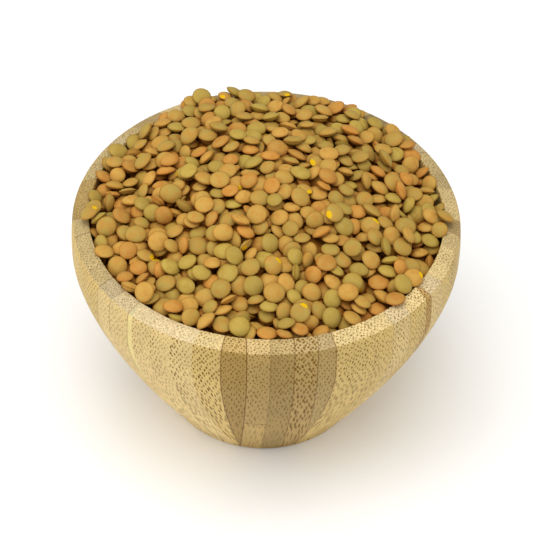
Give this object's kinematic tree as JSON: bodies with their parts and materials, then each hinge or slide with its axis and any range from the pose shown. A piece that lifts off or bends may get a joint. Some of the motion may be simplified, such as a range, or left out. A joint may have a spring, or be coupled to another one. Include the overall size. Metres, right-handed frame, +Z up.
{
  "type": "bowl of dry lentils",
  "caption": "Round laminated bamboo bowl heaped above its brim with dry brown and green lentils.",
  "frame": {"origin": "centre of the bowl's flat foot, on the surface that it stands on", "axes": "+Z up along the bowl's turning axis; -Y faces the picture's viewer; +X to the viewer's right"},
  "size_m": [0.12, 0.12, 0.0923],
  "materials": {
    "bamboo": "satin",
    "lentil_skin": "matte"
  },
  "bodies": {
    "root": {"bowl": "bamboo", "lentils": "lentil_skin"}
  },
  "joints": []
}
